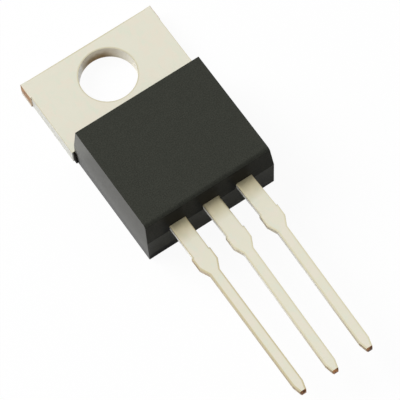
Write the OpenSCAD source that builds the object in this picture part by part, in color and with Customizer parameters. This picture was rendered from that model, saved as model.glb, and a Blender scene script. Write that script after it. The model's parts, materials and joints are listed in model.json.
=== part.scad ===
// Three-lead power transistor in the common single-hole tab outline.
// It lies on its back: +Z is the marked front face, +Y points to the free end of the tab,
// and the leads run toward -Y. The origin is the axis of the mounting hole at the back face.
// All sizes are in millimetres and degrees.

/* [Tab] */
// Width of the metal tab
tab_w = 10.16; // [9.80:0.02:10.66]
// Thickness of the metal tab
tab_t = 1.27; // [1.10:0.01:1.40]
// Diameter of the mounting hole
hole_d = 3.96; // [3.54:0.02:4.08]
// From the hole's centre to the free end of the tab
hole_to_end = 2.70; // [2.54:0.01:3.05]
// From the hole's centre to the moulding, along the tab's front face
hole_to_mould = 3.44; // [3.20:0.01:3.80]
// Length of the sheared carrier stubs at the tab's end corners
stub_l = 1.20; // [0.60:0.05:2.00]
// How far the stub on the -X side stands out
stub_left = 0.10; // [0.02:0.01:0.20]
// How far the stub on the +X side stands out
stub_right = 0.03; // [0.02:0.01:0.20]

/* [Die pad inside the moulding] */
// Width of the pad's back, which stays bare
pad_w = 7.80; // [6.90:0.05:8.20]
// Length of the pad from the tab into the moulding
pad_l = 5.80; // [5.20:0.05:6.40]
// Width of the locking ledge along each long side of the pad
ledge_w = 0.40; // [0.20:0.05:0.50]
// Height of the moulding's grip under that ledge
ledge_z = 0.55; // [0.30:0.05:0.70]

/* [Moulding] */
// Width of the moulding at the parting line
mould_w = 9.82; // [9.60:0.02:10.40]
// Length of the moulding at the parting line
mould_l = 8.76; // [8.40:0.02:9.20]
// Height of the front face above the back face
mould_h = 4.56; // [4.30:0.02:4.80]
// Draft of the end face over the tab
tab_end_draft = 6.6; // [3:0.2:9]
// Draft of the end face over the leads
lead_end_draft = 7.0; // [4:0.2:12]
// Draft of the two sides above the parting line
side_draft = 3.6; // [1:0.2:6]
// Draft of all faces below the parting line
lower_draft = 0.8; // [0.4:0.2:3]
// Length of the small ears that close the corner beside the tab
ear_l = 0.28; // [0.15:0.01:0.50]
// How far each ear stays inside the tab's edge
ear_inset = 0.08; // [0.02:0.01:0.12]

/* [Leads] */
// Distance between neighbouring leads
pitch = 2.54; // [2.44:0.02:2.64]
// Thickness of the lead sheet
lead_t = 0.46; // [0.38:0.01:0.60]
// Height of the leads' back above the tab's back
lead_z = 2.54; // [2.30:0.02:2.90]
// Width of the leads next to the moulding
lead_wide_w = 1.24; // [1.14:0.02:1.50]
// Width across the sheared dam bar stubs
dam_bar_w = 1.40; // [1.30:0.02:1.70]
// Width of the slender part of the leads
lead_slim_w = 0.74; // [0.60:0.02:1.00]
// Width at the tip
lead_tip_w = 0.38; // [0.25:0.01:0.50]
// From the moulding to the dam bar stubs
lead_to_dam_bar = 2.60; // [2.20:0.05:3.20]
// Length of the dam bar stubs
dam_bar_l = 0.90; // [0.60:0.05:1.20]
// Length of the shoulder that narrows to the slender part
shoulder_l = 0.70; // [0.40:0.05:1.00]
// Length of the leads from the moulding to the tip
lead_l = 14.08; // [12.70:0.02:14.70]
// Length of the tapered tip
tip_l = 0.70; // [0.40:0.05:1.00]

/* [Leads inside the moulding] */
// Width of the bonding posts at the inner ends of the outer leads
post_w = 2.50; // [1.80:0.05:2.80]
// Length of the bonding posts
post_l = 1.40; // [1.10:0.05:1.60]
// Moulding between the bonding posts and the lead end face
post_cover = 0.90; // [0.60:0.05:1.20]
// Shift of the bonding posts away from the middle lead
post_shift = 0.20; // [0.00:0.05:0.40]
// Width of the middle lead's slanting rise from the pad
riser_w = 1.24; // [1.00:0.02:1.50]
// Length of that rise along the lead
riser_l = 1.50; // [1.10:0.05:1.80]

/* [Die and bond wires] */
// Side of the square silicon die
die_side = 3.60; // [2.40:0.10:4.40]
// Thickness of the silicon die
die_t = 0.28; // [0.20:0.01:0.40]
// Distance from the tab's end of the pad to the die
die_inset = 1.00; // [0.60:0.05:1.40]
// Thickness of the solder under the die
solder_t = 0.06; // [0.03:0.01:0.12]
// How far the solder spreads beyond the die
solder_rim = 0.12; // [0.05:0.01:0.30]
// Diameter of the base wire
base_wire_d = 0.20; // [0.12:0.01:0.25]
// Diameter of the emitter wire
emitter_wire_d = 0.38; // [0.25:0.01:0.50]
// How far the wires arch above the straight line between their bonds
wire_rise = 0.80; // [0.50:0.05:0.95]
// Length of a wire's flattened foot, in wire diameters
foot_l_ratio = 2.2; // [1.6:0.1:2.6]
// Width of a wire's flattened foot, in wire diameters
foot_w_ratio = 1.4; // [1.2:0.1:1.8]
// Height of a wire's flattened foot, in wire diameters
foot_h_ratio = 0.8; // [0.75:0.01:0.95]
// Distance of the die's bonding spots from the die's edges
bond_inset = 0.80; // [0.60:0.05:1.00]

/* [Hidden] */
$fn = 96;

// Cutting tools pass this far through the faces they leave
through = 1;

// Places along Y, measured from the mounting hole
y_mould = -hole_to_mould;
y_lead_end = y_mould - mould_l;
y_pad_end = y_mould - pad_l;
y_tip = y_lead_end - lead_l;
y_post = y_lead_end + post_cover;
y_rise_end = y_pad_end - riser_l;
y_die = y_mould - die_inset - die_side / 2;

// Heights
lead_top = lead_z + lead_t;
die_z = tab_t + solder_t;
die_top = die_z + die_t;
upper_h = mould_h - lead_z;

// Bonding spots: near the die's two corners that face the leads, and in the middle of the posts
die_spot_x = die_side / 2 - bond_inset;
die_spot_y = y_die - die_side / 2 + bond_inset;
post_spot_x = pitch + post_shift;
post_spot_y = y_post + post_l / 2;

// Half width of a lead at each place along its length, from the end face outward
function lead_edge() = [
    [lead_wide_w / 2, y_lead_end - lead_to_dam_bar],
    [dam_bar_w / 2, y_lead_end - lead_to_dam_bar],
    [dam_bar_w / 2, y_lead_end - lead_to_dam_bar - dam_bar_l],
    [lead_slim_w / 2, y_lead_end - lead_to_dam_bar - dam_bar_l - shoulder_l],
    [lead_slim_w / 2, y_tip + tip_l],
    [lead_tip_w / 2, y_tip]
];

// The same edge walked back along the other side
function mirrored(edge) = [for (i = [len(edge) - 1:-1:0]) [-edge[i][0], edge[i][1]]];

// Outline of a lead that starts at inner_y inside the moulding
module lead_outline(inner_y) {
    edge = concat([[lead_wide_w / 2, inner_y]], lead_edge());
    polygon(concat(edge, mirrored(edge)));
}

// Plan of the tab: the bare plate with the sheared carrier stubs at its end corners
module tab_outline() {
    translate([-tab_w / 2, y_mould]) square([tab_w, hole_to_end + hole_to_mould]);
    translate([-tab_w / 2 - stub_left, hole_to_end - stub_l])
        square([tab_w + stub_left + stub_right, stub_l]);
}

// Pad inside the moulding, with a ledge along each long side that the moulding grips
module die_pad() {
    pad_top_w = pad_w + 2 * ledge_w;
    translate([-pad_w / 2, y_pad_end, 0]) cube([pad_w, pad_l, tab_t]);
    translate([-pad_top_w / 2, y_pad_end, ledge_z]) cube([pad_top_w, pad_l, tab_t - ledge_z]);
}

// Side view of the slanting rise from the pad to the plane of the leads
module riser() {
    translate([-riser_w / 2, 0, 0]) rotate([90, 0, 90]) linear_extrude(height = riser_w)
        polygon([
            [y_pad_end + lead_t, tab_t],
            [y_pad_end + lead_t, tab_t - lead_t],
            [y_pad_end, tab_t - lead_t],
            [y_rise_end, lead_z],
            [y_rise_end - lead_t, lead_z],
            [y_rise_end - lead_t, lead_top],
            [y_rise_end + lead_t / 2, lead_top],
            [y_pad_end + lead_t / 2, tab_t]
        ]);
}

// One rolled and stamped strip: tab, die pad and the middle lead
module tab_with_middle_lead() {
    color([0.89, 0.87, 0.80]) difference() {
        union() {
            linear_extrude(height = tab_t) tab_outline();
            die_pad();
            riser();
            translate([0, 0, lead_z]) linear_extrude(height = lead_t)
                lead_outline(y_rise_end);
        }
        translate([0, 0, -through]) cylinder(d = hole_d, h = tab_t + 2 * through);
    }
}

// An outer lead: side is -1 for the base and 1 for the emitter
module outer_lead(side) {
    translate([side * pitch, 0, lead_z]) linear_extrude(height = lead_t)
        lead_outline(y_post + post_l / 2);
    translate([side * post_spot_x - post_w / 2, y_post, lead_z]) cube([post_w, post_l, lead_t]);
}

module base_lead() {
    color([0.88, 0.86, 0.78]) outer_lead(-1);
}

module emitter_lead() {
    color([0.88, 0.86, 0.78]) outer_lead(1);
}

// Solder under the die
module die_solder() {
    side = die_side + 2 * solder_rim;
    color([0.66, 0.66, 0.68]) translate([-side / 2, y_die - side / 2, tab_t])
        cube([side, side, solder_t]);
}

module silicon_die() {
    color([0.30, 0.32, 0.38]) translate([-die_side / 2, y_die - die_side / 2, die_z])
        cube([die_side, die_side, die_t]);
}

// Wire of diameter d from one bonding spot to another: an arc with a flattened foot at each end
module bond_wire(from, to, d) {
    run = norm([to.x - from.x, to.y - from.y]);
    heading = atan2(to.y - from.y, to.x - from.x);
    chord = norm([run, to.z - from.z]);
    climb = atan2(to.z - from.z, run);
    radius = (chord * chord / 4 + wire_rise * wire_rise) / (2 * wire_rise);
    half_angle = 2 * atan2(2 * wire_rise, chord);
    translate([from.x, from.y, from.z + d / 2]) rotate([0, -climb, heading])
        translate([chord / 2, 0, wire_rise - radius])
        rotate([90, 0, 0]) rotate([0, 0, 90 - half_angle])
        rotate_extrude(angle = 2 * half_angle) translate([radius, 0]) circle(d = d);
    foot_l = foot_l_ratio * d;
    foot_w = foot_w_ratio * d;
    for (spot = [from, to])
        translate(spot) rotate([0, 0, heading]) translate([-foot_l / 2, -foot_w / 2, 0])
            cube([foot_l, foot_w, foot_h_ratio * d]);
}

// Wire between the die and the post on one side of the middle line
module die_to_post_wire(side, d) {
    bond_wire(
        [side * die_spot_x, die_spot_y, die_top],
        [side * post_spot_x, post_spot_y, lead_top],
        d
    );
}

module base_bond_wire() {
    color([0.80, 0.81, 0.83]) die_to_post_wire(-1, base_wire_d);
}

module emitter_bond_wire() {
    color([0.80, 0.81, 0.83]) die_to_post_wire(1, emitter_wire_d);
}

// Side view of the moulding: both ends slope, and the lead end breaks at the parting line
module mould_side_view() {
    polygon([
        [y_mould, 0],
        [y_lead_end + lead_z * tan(lower_draft), 0],
        [y_lead_end, lead_z],
        [y_lead_end + upper_h * tan(lead_end_draft), mould_h],
        [y_mould - (mould_h - tab_t) * tan(tab_end_draft), mould_h],
        [y_mould, tab_t]
    ]);
}

// End view of the moulding: widest at the parting line
module mould_end_view() {
    half = mould_w / 2;
    foot = half - lead_z * tan(lower_draft);
    top = half - upper_h * tan(side_draft);
    polygon([[-foot, 0], [foot, 0], [half, lead_z], [top, mould_h], [-top, mould_h], [-half, lead_z]]);
}

module mould_block() {
    intersection() {
        translate([-tab_w, 0, 0]) rotate([90, 0, 90])
            linear_extrude(height = 2 * tab_w) mould_side_view();
        translate([0, y_mould + through, 0]) rotate([90, 0, 0])
            linear_extrude(height = mould_l + 2 * through) mould_end_view();
    }
}

// Ears that fill the corner where the tab's full width ends
module mould_ears() {
    ear_w = tab_w - 2 * ear_inset;
    translate([-ear_w / 2, y_mould - ear_l, 0]) cube([ear_w, ear_l, tab_t]);
}

// Epoxy moulded around everything inside it, face to face
module moulded_body() {
    color([0.23, 0.23, 0.21]) difference() {
        union() {
            mould_block();
            mould_ears();
        }
        tab_with_middle_lead();
        base_lead();
        emitter_lead();
        die_solder();
        silicon_die();
        base_bond_wire();
        emitter_bond_wire();
    }
}

moulded_body();
tab_with_middle_lead();
base_lead();
emitter_lead();
silicon_die();
die_solder();
base_bond_wire();
emitter_bond_wire();
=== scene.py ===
"""Dressed model of a three-lead power transistor in the single-hole tab outline.

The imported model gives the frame. Each sub-assembly below is a class that builds its own meshes in
millimetres, turns them into metres at the end and dresses them in its finishes.
"""
import json
import logging
from collections.abc import Callable, Iterable, Sequence
from dataclasses import dataclass, field
from enum import Enum
from math import cos, pi, radians, sin, tan
from typing import Any

import bmesh
import bpy
from mathutils import Matrix, Vector


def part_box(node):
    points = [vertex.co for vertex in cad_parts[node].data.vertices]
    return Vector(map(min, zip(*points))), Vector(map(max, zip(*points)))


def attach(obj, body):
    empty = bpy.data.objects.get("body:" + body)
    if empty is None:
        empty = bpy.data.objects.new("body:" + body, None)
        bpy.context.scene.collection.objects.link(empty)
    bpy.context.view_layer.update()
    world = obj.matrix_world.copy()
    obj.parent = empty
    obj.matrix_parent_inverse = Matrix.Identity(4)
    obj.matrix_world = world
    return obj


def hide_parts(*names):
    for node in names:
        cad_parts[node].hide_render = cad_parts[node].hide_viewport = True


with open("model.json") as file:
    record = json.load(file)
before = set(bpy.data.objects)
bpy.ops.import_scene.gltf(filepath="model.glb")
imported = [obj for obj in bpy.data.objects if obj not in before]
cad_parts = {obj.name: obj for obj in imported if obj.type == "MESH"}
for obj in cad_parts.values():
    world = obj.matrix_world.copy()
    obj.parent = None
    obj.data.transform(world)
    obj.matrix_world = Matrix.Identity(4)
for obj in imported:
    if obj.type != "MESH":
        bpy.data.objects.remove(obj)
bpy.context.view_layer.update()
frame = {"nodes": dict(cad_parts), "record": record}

log = logging.getLogger("power_transistor")
MM = 0.001
SIDES = (-1, 1)

# Heights nearer than TOUCH_MM are one height; SLACK_MM lets a face's centre lie just past a limit.
TOUCH_MM = 1e-4
SLACK_MM = 0.01
# Corners nearer than this come from the joining of solids and are welded.
WELD_MM = 0.0015
# An edge is sharp above SHARP_DEG; a face is level when its normal's Z is over LEVEL_Z.
SHARP_DEG = 20.0
LEVEL_Z = 0.99
NORMAL_WEIGHT = 80
GRAIN_ROUGHNESS = 0.55

Point = tuple[float, float]
Band = tuple[float, float]
Colour = tuple[float, float, float]
Socket = bpy.types.NodeSocket
EdgeTest = Callable[[Vector, Vector], bool]


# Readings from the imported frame

@dataclass(frozen=True)
class Extent:
    """Lowest and highest corner of a node, in millimetres."""

    low: Vector
    high: Vector

    @classmethod
    def of(cls, node: str) -> "Extent":
        """Reads the extent of one node."""
        low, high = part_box(node)
        return cls(low / MM, high / MM)


def mount(name: str) -> dict[str, Any]:
    """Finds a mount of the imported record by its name."""
    return next(m for m in frame["record"]["mounts"] if m["name"] == name)


@dataclass(frozen=True)
class Layout:
    """Heights and places that several pieces share, in millimetres."""

    hole_r: float
    tab_t: float
    tab_end_y: float
    mould_y: float
    lead_end_y: float
    tip_y: float
    lead_z: float
    lead_top: float
    mould_top: float
    pitch: float
    parting_half_w: float

    @classmethod
    def from_frame(cls) -> "Layout":
        """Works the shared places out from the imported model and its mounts.

        Returns:
            The layout.
        """
        hole = mount("mounting_hole")["dims"]
        strip = Extent.of("tab_with_middle_lead")
        lead = Extent.of("base_lead")
        body = Extent.of("moulded_body")
        parting = max(
            abs(v.co.x) / MM
            for v in frame["nodes"]["moulded_body"].data.vertices
            if abs(v.co.z / MM - lead.low.z) < SLACK_MM
        )
        return cls(
            hole_r=hole["r_mm"],
            tab_t=hole["length_mm"],
            tab_end_y=strip.high.y,
            mould_y=body.high.y,
            lead_end_y=body.low.y,
            tip_y=strip.low.y,
            lead_z=lead.low.z,
            lead_top=lead.high.z,
            mould_top=body.high.z,
            pitch=mount("emitter_pin")["pos_m"][0] / MM,
            parting_half_w=parting,
        )


LAYOUT = Layout.from_frame()


# Node trees

class Tree:
    """Thin helper that adds nodes to a tree and links their sockets."""

    def __init__(self, tree: bpy.types.NodeTree) -> None:
        """Keeps the tree that the nodes go into."""
        self.tree = tree

    def node(
        self, kind: str, inputs: dict[Any, Any] | None = None, **settings: Any
    ) -> bpy.types.Node:
        """Adds one node.

        Args:
            kind: Blender's name of the node type.
            inputs: values or output sockets for its inputs, by name or number.
            settings: properties of the node itself.

        Returns:
            The new node.
        """
        made = self.tree.nodes.new(kind)
        for name, value in settings.items():
            setattr(made, name, value)
        for key, value in (inputs or {}).items():
            socket = made.inputs[key]
            if isinstance(value, Socket):
                self.tree.links.new(value, socket)
            else:
                socket.default_value = value
        return made

    def math(self, operation: str, *terms: Any) -> Socket:
        """Adds a Math node with values or sockets as its terms."""
        return self.node("ShaderNodeMath", dict(enumerate(terms)), operation=operation).outputs[0]

    def vector(self, operation: str, *terms: Any) -> Socket:
        """Adds a Vector Math node with values or sockets as its terms."""
        kind = "ShaderNodeVectorMath"
        return self.node(kind, dict(enumerate(terms)), operation=operation).outputs[0]

    def combine(self, x: Any, y: Any, z: Any) -> Socket:
        """Adds a Combine XYZ node."""
        return self.node("ShaderNodeCombineXYZ", {0: x, 1: y, 2: z}).outputs[0]

    def axes(self, vector: Socket) -> Any:
        """Adds a Separate XYZ node and gives its outputs."""
        return self.node("ShaderNodeSeparateXYZ", {0: vector}).outputs


class Surface(Tree):
    """A material in the making: its shader, its object coordinates and its tone so far."""

    def __init__(self, tree: bpy.types.NodeTree, colour: Colour, roughness: float) -> None:
        """Starts a surface of one colour.

        Args:
            tree: the material's tree, emptied.
            colour: the colour.
            roughness: the roughness.
        """
        super().__init__(tree)
        self.place = self.node("ShaderNodeTexCoord").outputs["Object"]
        self.x, self.y, self.z = self.axes(self.place)
        self.tone: Any = (*colour, 1.0)
        self.shader = self.node("ShaderNodeBsdfPrincipled", {"Roughness": roughness})
        self.node("ShaderNodeOutputMaterial", {"Surface": self.shader.outputs[0]})

    def noise(self, size_mm: float, detail: float = 3.0, stretch: Sequence[float] = ()) -> Socket:
        """Adds a noise pattern of a given grain.

        Args:
            size_mm: rough size of one grain.
            detail: number of finer octaves.
            stretch: factor along X, Y and Z; a small one draws the grain out.

        Returns:
            The noise value.
        """
        place = self.place
        if stretch:
            place = self.node("ShaderNodeMapping", {"Vector": place, "Scale": stretch}).outputs[0]
        return self.node("ShaderNodeTexNoise", {
            "Vector": place, "Scale": 1.0 / (size_mm * MM),
            "Detail": detail, "Roughness": GRAIN_ROUGHNESS,
        }).outputs["Fac"]

    def ramp(self, value: Any, band: Band) -> Socket:
        """Maps a value smoothly to 0 to 1 between the two limits of a band."""
        inputs = {"Value": value, "From Min": band[0], "From Max": band[1]}
        return self.node("ShaderNodeMapRange", inputs, interpolation_type="SMOOTHSTEP").outputs[0]

    def ramp_mm(self, length: Any, band: Band) -> Socket:
        """Maps a length in metres like ramp, between limits in millimetres."""
        return self.ramp(length, (band[0] * MM, band[1] * MM))

    def cover(self, colour: Colour, share: Any) -> None:
        """Mixes a share of a colour into the tone."""
        inputs = {0: share, 6: self.tone, 7: (*colour, 1.0)}
        self.tone = self.node("ShaderNodeMix", inputs, data_type="RGBA").outputs[2]

    def cloud_roughness(self, cloud: Any, roughness: float, swing: float) -> None:
        """Lets the roughness swing about its middle value with a cloud pattern."""
        uneven = self.math("MULTIPLY_ADD", cloud, swing, roughness - swing / 2)
        self.tree.links.new(uneven, self.shader.inputs["Roughness"])

    def close(self, relief: Any, depth_um: float, strength: float, metallic: float) -> None:
        """Links the tone and the relief to the shader.

        Args:
            relief: the pattern that raises the surface.
            depth_um: depth of the relief in thousandths of a millimetre.
            strength: strength of the relief, 0 to 1.
            metallic: how metallic the surface is, 0 to 1.
        """
        bump = self.node("ShaderNodeBump", {
            "Height": relief, "Distance": depth_um * MM * MM, "Strength": strength,
        })
        self.tree.links.new(bump.outputs[0], self.shader.inputs["Normal"])
        self.tree.links.new(self.tone, self.shader.inputs["Base Color"])
        self.shader.inputs["Metallic"].default_value = metallic


# Finishes

@dataclass(frozen=True)
class Finish:
    """Common parts of every finish: its name, colour, roughness and relief."""

    name: str
    colour: Colour
    roughness: float
    relief_um: float = 3.0
    relief_strength: float = 0.5
    metallic: float = 0.0

    def material(self) -> bpy.types.Material:
        """Gives the material, made once and then shared.

        Returns:
            The material.
        """
        found = bpy.data.materials.get(self.name)
        if found:
            return found
        made = bpy.data.materials.new(self.name)
        made.use_nodes = True
        made.node_tree.nodes.clear()
        surface = Surface(made.node_tree, self.colour, self.roughness)
        relief = self.dress(surface)
        surface.close(relief, self.relief_um, self.relief_strength, self.metallic)
        made.diffuse_color = (*self.colour, 1.0)
        return made

    def dress(self, on: Surface) -> Socket:
        """Adds the finish's own detail to a surface and gives the pattern that raises it."""
        raise NotImplementedError


@dataclass(frozen=True)
class MouldingCompound(Finish):
    """Black epoxy with the fine matte grain of a spark-eroded mould."""

    relief_um: float = 5.0
    relief_strength: float = 0.55
    gloss: float = 0.06
    gloss_tint: Colour = (1.0, 0.985, 0.92)
    grain_mm: float = 0.08
    pit_mm: float = 0.128
    pit_share: float = 0.8
    cloud_mm: float = 0.40
    cloud_share: float = 0.14
    cloud_sheen: float = 0.08
    tone_band: Band = (0.36, 0.66)
    pale: Colour = (0.048, 0.0503, 0.041)
    ragged_mm: float = 0.5

    def dress(self, on: Surface) -> Socket:
        """Adds the grain, the clouding of the filler and the matte relief.

        Args:
            on: the surface.

        Returns:
            The pattern that raises it.
        """
        grain = on.noise(self.grain_mm, detail=4.0)
        cloud = on.noise(self.cloud_mm)
        pits = on.node("ShaderNodeTexVoronoi", {
            "Vector": on.place, "Scale": 1.0 / (self.pit_mm * MM),
        }).outputs["Distance"]
        fine = on.math("MULTIPLY", grain, 1.0 - self.cloud_share)
        mixed = on.math("ADD", fine, on.math("MULTIPLY", cloud, self.cloud_share))
        on.cover(self.pale, on.ramp(mixed, self.tone_band))
        swing = self.ragged_mm * MM
        self.mark(on, on.math("MULTIPLY_ADD", cloud, swing, -swing / 2))
        on.cloud_roughness(cloud, self.roughness, self.cloud_sheen)
        on.shader.inputs["Specular IOR Level"].default_value = self.gloss
        on.shader.inputs["Specular Tint"].default_value = (*self.gloss_tint, 1.0)
        return on.math("ADD", grain, on.math("MULTIPLY", pits, self.pit_share))

    def mark(self, on: Surface, ragged: Socket) -> None:
        """Adds the painted shade and light of one face of the mould; the plain compound has none.
        """


@dataclass(frozen=True)
class DrawnWall(MouldingCompound):
    """Side wall, smoothed as it slid out of the mould, with painted shade at its foot and a painted
    highlight at its upper corner by the tab.
    """

    # Painted shade: the wall darkens towards its foot.
    foot: Colour = (0.006, 0.006, 0.0045)
    foot_z: Band = (1.7, 0.2)
    # Painted highlight: the upper corner of the wall by the tab is paler.
    tab_corner_highlight: Colour = (0.068, 0.069, 0.058)
    tab_corner_highlight_y: Band = (-3.95, -2.55)
    tab_corner_highlight_slant: float = 0.5

    def mark(self, on: Surface, ragged: Socket) -> None:
        """Paints shade on the foot of the wall and a highlight on its upper corner by the tab.

        Args:
            on: the surface.
            ragged: a small uneven length that keeps the borders from being straight.
        """
        on.cover(self.foot, on.ramp_mm(on.math("ADD", on.z, ragged), self.foot_z))
        slanted = on.math("MULTIPLY_ADD", on.z, self.tab_corner_highlight_slant, on.y)
        on.cover(self.tab_corner_highlight, on.ramp_mm(slanted, self.tab_corner_highlight_y))


@dataclass(frozen=True)
class LeadEndSlope(MouldingCompound):
    """Drafted face above the leads, with a patch of painted shade over each lead."""

    # Painted shade: a dark patch on the slope over each lead.
    over_lead_shade: Colour = (0.0065, 0.0065, 0.006)
    over_lead_shade_shift: float = 0.25
    over_lead_shade_half_w: Band = (1.04, 0.40)

    def mark(self, on: Surface, ragged: Socket) -> None:
        """Paints a patch of shade over each lead.

        Args:
            on: the surface.
            ragged: a small uneven length that keeps the borders from being straight.
        """
        half = LAYOUT.pitch / 2 * MM
        shifted = on.math("ADD", on.math("ADD", on.x, self.over_lead_shade_shift * MM), ragged)
        kept = on.math("MINIMUM", on.math("MAXIMUM", shifted, -3 * half), 3 * half)
        off = on.math("ABSOLUTE", on.math("WRAP", kept, half, -half))
        on.cover(self.over_lead_shade, on.ramp_mm(off, self.over_lead_shade_half_w))


@dataclass(frozen=True)
class LeadEndFoot(MouldingCompound):
    """Upright face under the leads, with painted shade along its foot on the base side."""

    # Painted shade: near-black along the foot of the face, where it meets the floor.
    contact_shade: Colour = (0.002, 0.002, 0.0015)
    contact_shade_z: Band = (0.77, 0.47)
    contact_shade_x: Band = (-2.3, -3.1)
    contact_shade_ragged: float = 0.4

    def mark(self, on: Surface, ragged: Socket) -> None:
        """Paints shade along the foot of the face on the base side.

        Args:
            on: the surface.
            ragged: a small uneven length that keeps the borders from being straight.
        """
        low = on.ramp_mm(on.math("MULTIPLY_ADD", ragged, self.contact_shade_ragged, on.z), self.contact_shade_z)
        on.cover(self.contact_shade, on.math("MULTIPLY", low, on.ramp_mm(on.x, self.contact_shade_x)))


@dataclass(frozen=True)
class TinPlate(Finish):
    """Matte tin over copper: creamy, with faint warm and green clouds and rolling lines."""

    relief_um: float = 1.2
    relief_strength: float = 0.35
    metallic: float = 0.92
    warm: Colour = (0.785, 0.742, 0.622)
    warm_mm: float = 0.9
    warm_band: Band = (0.42, 0.60)
    cool: Colour = (0.752, 0.752, 0.628)
    cool_mm: float = 0.5
    cool_stretch: float = 0.6
    cool_band: Band = (0.50, 0.68)
    cool_sheen: float = 0.16
    crystal_mm: float = 0.03
    rolled_mm: float = 0.05
    rolled_stretch: float = 0.04
    rolled_share: float = 0.6
    # Browner tint on tilted rims: partly the tin's own tone, partly painted reflection.
    edge: Colour = (0.67, 0.63, 0.46)
    edge_band: Band = (0.9995, 0.980)
    # Painted shade: the leads turn darker and yellower towards the moulding.
    shaded_by_moulding: bool = False
    moulding_shade: Colour = (0.52, 0.445, 0.235)
    moulding_shade_off_end: Band = (-1.40, 0.15)
    moulding_shade_wave: float = 0.35
    moulding_shade_share: float = 0.70

    def dress(self, on: Surface) -> Socket:
        """Adds the clouds, a browner tint on tilted rims, the rolling lines, the crystal grain and
        painted shade of the moulding.

        Args:
            on: the surface.

        Returns:
            The pattern that raises it.
        """
        cool = on.noise(self.cool_mm, stretch=(1.0, self.cool_stretch, 1.0))
        on.cover(self.warm, on.ramp(on.noise(self.warm_mm, detail=2.0), self.warm_band))
        on.cover(self.cool, on.ramp(cool, self.cool_band))
        facing = on.node("ShaderNodeNewGeometry").outputs["Normal"]
        on.cover(self.edge, on.ramp(on.math("ABSOLUTE", on.axes(facing)["Z"]), self.edge_band))
        if self.shaded_by_moulding:
            start, end = (LAYOUT.lead_end_y + out for out in self.moulding_shade_off_end)
            wavy = on.math("MULTIPLY_ADD", cool, self.moulding_shade_wave * MM, on.y)
            share = on.math("SQRT", on.ramp_mm(wavy, (start, end)))
            on.cover(self.moulding_shade, on.math("MULTIPLY", share, self.moulding_shade_share))
        on.cloud_roughness(cool, self.roughness, self.cool_sheen)
        rolled = on.noise(self.rolled_mm, detail=2.0, stretch=(1.0, self.rolled_stretch, 1.0))
        crystal = on.noise(self.crystal_mm)
        return on.math("ADD", crystal, on.math("MULTIPLY", rolled, self.rolled_share))


@dataclass(frozen=True)
class CutMetal(Finish):
    """Common parts of the cut faces: upright lines where the tool passed."""

    metallic: float = 0.85
    line_mm: float = 0.05
    line_stretch: float = 0.08

    def lines(self, on: Surface) -> Socket:
        """Adds the pattern of the tool's upright lines."""
        return on.noise(self.line_mm, stretch=(1.0, 1.0, self.line_stretch))


@dataclass(frozen=True)
class ShearedEdge(CutMetal):
    """Side of the strip where the die sheared it: upright lines, and browner toward the tip."""

    deep: Colour = (0.36, 0.25, 0.13)
    deep_mm: float = 0.45
    deep_band: Band = (0.46, 0.66)
    aged: Colour = (0.66, 0.58, 0.44)
    aged_y: Band = (-19.0, -25.5)

    def dress(self, on: Surface) -> Socket:
        """Adds the shear lines, patches of copper and the browning toward the tip.

        Args:
            on: the surface.

        Returns:
            The pattern that raises it.
        """
        lines = self.lines(on)
        mean = on.math("MULTIPLY", on.math("ADD", lines, on.noise(self.deep_mm)), 0.5)
        on.cover(self.deep, on.ramp(mean, self.deep_band))
        on.cover(self.aged, on.ramp_mm(on.y, self.aged_y))
        return lines


@dataclass(frozen=True)
class PunchedWall(CutMetal):
    """Wall of the punched hole: burnished in front; behind, a brown fracture band that is partly
    real and partly painted shade; painted light at the sides.
    """

    relief_um: float = 4.0
    metallic: float = 0.8
    line_mm: float = 0.04
    # Brown fracture band, placed and darkened partly as painted shade of the far wall.
    torn: Colour = (0.38, 0.27, 0.14)
    torn_and_shade_z: Band = (1.30, 0.45)
    torn_and_shade_wave: float = 0.5
    torn_and_shade_wave_mm: float = 0.35
    torn_and_shade_at_x: float = 0.25
    torn_and_shade_half_w: Band = (1.275, 0.425)
    # Painted light: the wall is paler on the +X side and palest on the -X side.
    clean: Colour = (0.88, 0.85, 0.75)
    clean_x: Band = (1.20, 1.90)
    bright: Colour = (0.98, 0.97, 0.93)
    bright_x: Band = (-0.80, -1.20)

    def dress(self, on: Surface) -> Socket:
        """Adds the brown fracture band with its painted shade, the painted light on both sides and
        the punch lines.

        Args:
            on: the surface.

        Returns:
            The pattern that raises it.
        """
        wave = on.noise(self.torn_and_shade_wave_mm)
        wavy = on.math("MULTIPLY_ADD", wave, self.torn_and_shade_wave * MM, on.z)
        off = on.math("ABSOLUTE", on.math("SUBTRACT", on.x, self.torn_and_shade_at_x * MM))
        near = on.ramp_mm(off, self.torn_and_shade_half_w)
        on.cover(self.torn, on.math("MULTIPLY", on.ramp_mm(wavy, self.torn_and_shade_z), near))
        on.cover(self.clean, on.ramp_mm(on.x, self.clean_x))
        on.cover(self.bright, on.ramp_mm(on.x, self.bright_x))
        return self.lines(on)


@dataclass(frozen=True)
class BareCopper(CutMetal):
    """Copper laid bare by the last cut, dulled in patches, with tin smeared on its lower part."""

    relief_um: float = 4.0
    relief_strength: float = 0.6
    metallic: float = 0.9
    line_stretch: float = 0.1
    dull: Colour = (0.26, 0.125, 0.06)
    dull_mm: float = 0.22
    dull_band: Band = (0.40, 0.62)
    plated: Colour = (0.74, 0.71, 0.64)
    plated_z: Band | None = None
    plated_wave: float = 0.25

    def dress(self, on: Surface) -> Socket:
        """Adds dull patches, the smear of tin and the lines of the cut.

        Args:
            on: the surface.

        Returns:
            The pattern that raises it.
        """
        patch = on.noise(self.dull_mm, detail=4.0)
        on.cover(self.dull, on.ramp(patch, self.dull_band))
        if self.plated_z:
            wavy = on.math("MULTIPLY_ADD", patch, self.plated_wave * MM, on.z)
            on.cover(self.plated, on.ramp_mm(wavy, self.plated_z))
        return self.lines(on)


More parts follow.
